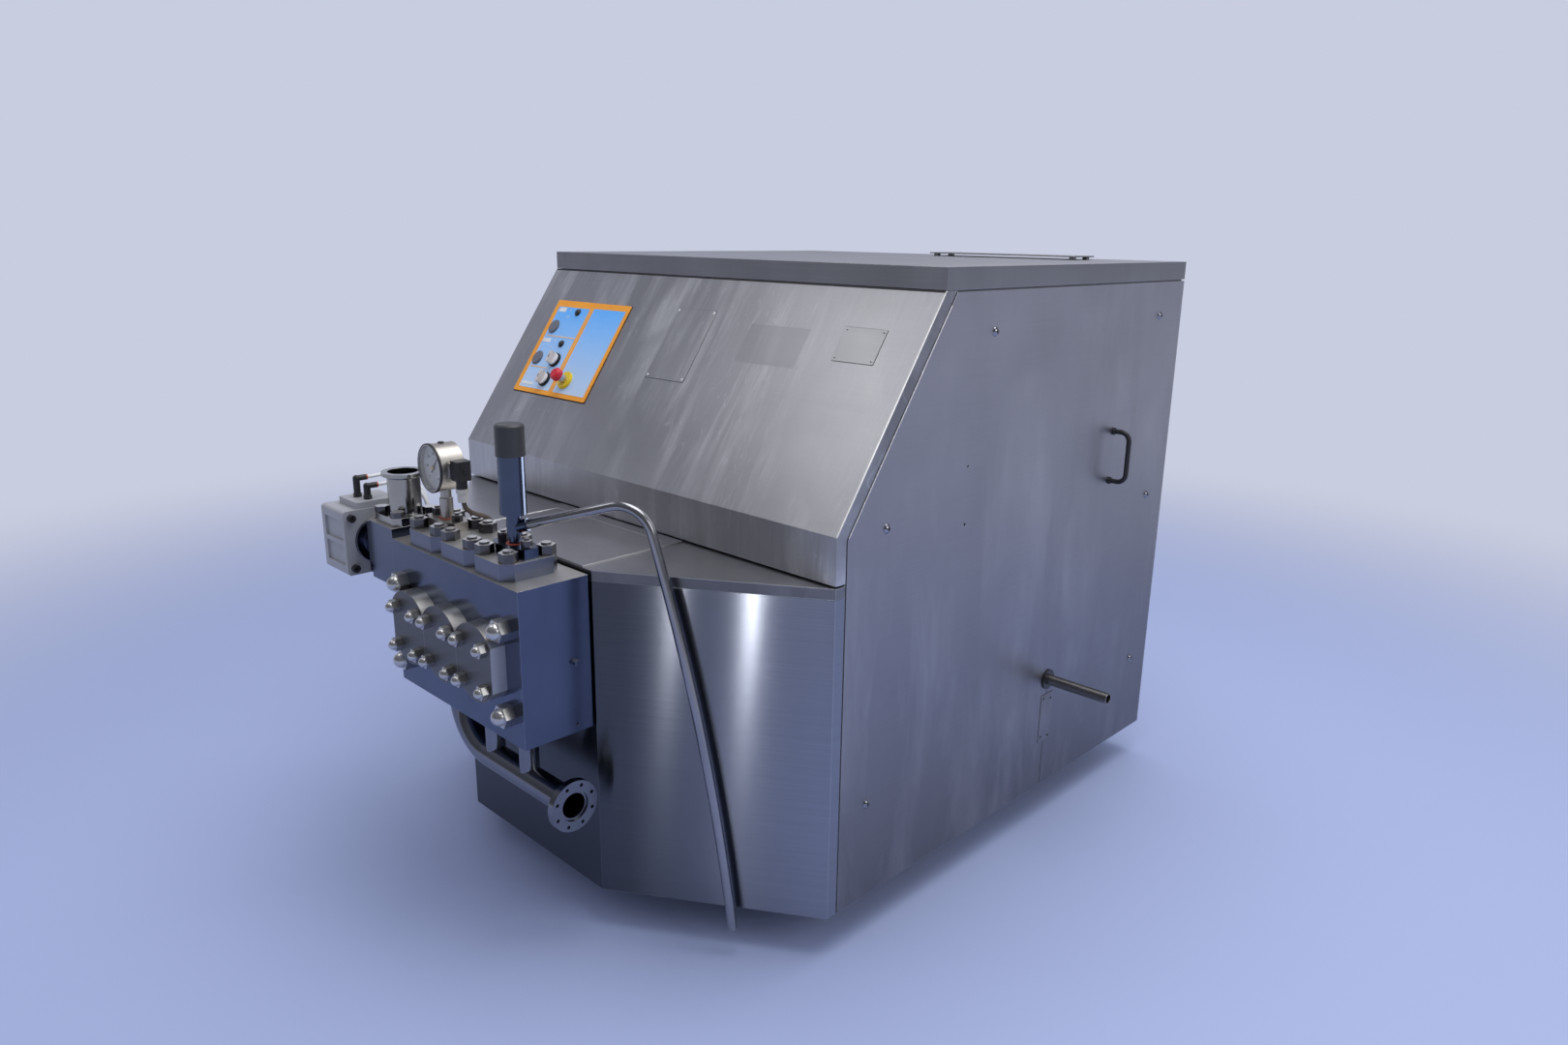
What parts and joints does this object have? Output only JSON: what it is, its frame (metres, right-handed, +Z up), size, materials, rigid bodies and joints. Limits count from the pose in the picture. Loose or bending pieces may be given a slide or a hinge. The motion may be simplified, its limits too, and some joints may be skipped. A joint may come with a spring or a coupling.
{
  "type": "dairy homogenizer",
  "caption": "Free-standing dairy homogenizer: steel casing with sloped control hood, plunger pump block with suction manifold, homogenizing valve, gauge and relief valve at the front.",
  "frame": {"origin": "on the floor, in the middle of the four anchor holes of the feet", "axes": "+X to the machine's right along its front, +Y to the rear (the pump block faces -Y), +Z up"},
  "size_m": [1.395, 1.6581, 1.269],
  "materials": {
    "casing_steel": "brushed stainless sheet",
    "polished_steel": "mirror-polished stainless",
    "pipe_steel": "polished stainless tube",
    "fastener_steel": "bright stainless",
    "machined_steel": "turned and ground steel",
    "foot_steel": "satin stainless",
    "gauge_steel": "brushed stainless case, dark bezel",
    "dark_steel": "dark satin",
    "frame_paint": "grey frame paint",
    "motor_paint": "blue machine paint",
    "panel_print": "printed control plate, orange border, blue field",
    "chrome_trim": "bright bezel, one collar yellow",
    "cast_actuator": "off-white cast finish",
    "drive_iron": "painted casting",
    "pulley_iron": "dark casting",
    "black_plastic": "black satin",
    "grey_plastic": "dark grey satin",
    "red_plastic": "red gloss",
    "ceramic_white": "white ground ceramic",
    "white_dial": "white dial, black scale",
    "white_hose": "milky hose",
    "clear_glass": "clear",
    "cable_rubber": "dark cable sheath",
    "belt_rubber": "black V-belt"
  },
  "bodies": {
    "machine": {"base_frame": "frame_paint", "machine_feet": "foot_steel", "front_casing": "casing_steel", "front_deck": "casing_steel", "hood": "casing_steel", "side_panel_left": "casing_steel", "side_panel_right": "casing_steel", "rear_panel": "casing_steel", "panel_screws": "fastener_steel", "side_handles": "black_plastic", "drain_stub": "dark_steel", "control_panel": "panel_print", "blanking_plugs": "grey_plastic", "pilot_lights": "black_plastic", "switch_collars": "chrome_trim", "pump_block": "polished_steel", "cap_plates": "polished_steel", "cap_nuts": "fastener_steel", "cylinder_covers": "polished_steel", "dome_nuts": "fastener_steel", "suction_manifold": "pipe_steel", "valve_housing": "polished_steel", "outlet_pipe": "pipe_steel", "flange_fasteners": "fastener_steel", "actuator_housing": "cast_actuator", "actuator_bolts": "dark_steel", "air_fittings": "black_plastic", "air_hoses": "white_hose", "gauge_case": "gauge_steel", "gauge_dial": "white_dial", "gauge_glass": "clear_glass", "gauge_plug": "black_plastic", "gauge_cable": "cable_rubber", "relief_valve": "polished_steel", "relief_cap": "grey_plastic", "relief_tube": "pipe_steel", "packing_glands": "machined_steel", "crankcase": "drive_iron", "motor": "motor_paint", "drive_belts": "belt_rubber"},
    "lid": {"top_lid": "casing_steel", "lid_vent": "casing_steel"},
    "cover": {"plunger_cover": "casing_steel"},
    "selector_upper": {"selector_knob_upper": "black_plastic"},
    "selector_lower": {"selector_knob_lower": "black_plastic"},
    "stop_button": {"estop_button": "red_plastic"},
    "pointer": {"gauge_pointer": "black_plastic"},
    "forcer": {"valve_forcer": "machined_steel"},
    "crank_train": {"crankshaft": "machined_steel", "drive_pulley": "pulley_iron"},
    "motor_rotor": {"motor_pulley": "pulley_iron"},
    "plunger_body_1": {"plunger_1": "ceramic_white"},
    "suction_body_1": {"suction_valve_1": "machined_steel"},
    "discharge_body_1": {"discharge_valve_1": "machined_steel"},
    "plunger_body_2": {"plunger_2": "ceramic_white"},
    "suction_body_2": {"suction_valve_2": "machined_steel"},
    "discharge_body_2": {"discharge_valve_2": "machined_steel"},
    "plunger_body_3": {"plunger_3": "ceramic_white"},
    "suction_body_3": {"suction_valve_3": "machined_steel"},
    "discharge_body_3": {"discharge_valve_3": "machined_steel"}
  },
  "joints": [
    {"name": "lid_lift", "type": "slide", "parent": "machine", "child": "lid", "axis": [0, 0, 1], "range_m": [0, 0.06]},
    {"name": "cover_lift", "type": "slide", "parent": "machine", "child": "cover", "axis": [0, 0, 1], "range_m": [0, 0.06]},
    {"name": "selector_upper_turn", "type": "hinge", "parent": "machine", "child": "selector_upper", "pos_m": [-0.413, -0.35317, 1.01562], "axis": [0, -0.8234, 0.5675], "range_deg": [-45, 45]},
    {"name": "selector_lower_turn", "type": "hinge", "parent": "machine", "child": "selector_lower", "pos_m": [-0.415, -0.38268, 0.97281], "axis": [0, -0.8234, 0.5675], "range_deg": [-45, 45]},
    {"name": "stop_press", "type": "slide", "parent": "machine", "child": "stop_button", "axis": [0, 0.8234, -0.5675], "range_m": [0, 0.006]},
    {"name": "pointer_turn", "type": "hinge", "parent": "machine", "child": "pointer", "pos_m": [-0.12105, -0.83998, 0.875], "axis": [-0.0349, -0.9994, 0], "range_deg": [-95, 175]},
    {"name": "forcer_push", "type": "slide", "parent": "machine", "child": "forcer", "axis": [1, 0, 0], "range_m": [0, 0.004]},
    {"name": "crank_turn", "type": "hinge", "parent": "machine", "child": "crank_train", "pos_m": [0, -0.25, 0.572], "axis": [1, 0, 0], "continuous": true},
    {"name": "motor_turn", "type": "hinge", "parent": "machine", "child": "motor_rotor", "pos_m": [0, 0.35, 0.389], "axis": [1, 0, 0], "continuous": true},
    {"name": "plunger_1_stroke", "type": "slide", "parent": "machine", "child": "plunger_body_1", "axis": [0, 1, 0], "range_m": [-0.03, 0.03]},
    {"name": "suction_valve_1_lift", "type": "slide", "parent": "machine", "child": "suction_body_1", "axis": [0, 0, 1], "range_m": [0, 0.007]},
    {"name": "discharge_valve_1_lift", "type": "slide", "parent": "machine", "child": "discharge_body_1", "axis": [0, 0, 1], "range_m": [0, 0.007]},
    {"name": "plunger_2_stroke", "type": "slide", "parent": "machine", "child": "plunger_body_2", "axis": [0, 1, 0], "range_m": [-0.004, 0.056]},
    {"name": "suction_valve_2_lift", "type": "slide", "parent": "machine", "child": "suction_body_2", "axis": [0, 0, 1], "range_m": [0, 0.007]},
    {"name": "discharge_valve_2_lift", "type": "slide", "parent": "machine", "child": "discharge_body_2", "axis": [0, 0, 1], "range_m": [0, 0.007]},
    {"name": "plunger_3_stroke", "type": "slide", "parent": "machine", "child": "plunger_body_3", "axis": [0, 1, 0], "range_m": [-0.056, 0.004]},
    {"name": "suction_valve_3_lift", "type": "slide", "parent": "machine", "child": "suction_body_3", "axis": [0, 0, 1], "range_m": [0, 0.007]},
    {"name": "discharge_valve_3_lift", "type": "slide", "parent": "machine", "child": "discharge_body_3", "axis": [0, 0, 1], "range_m": [0, 0.007]}
  ],
  "couplings": [
    {"joint": "motor_turn", "follows": "crank_turn", "ratio": 3.5714}
  ]
}
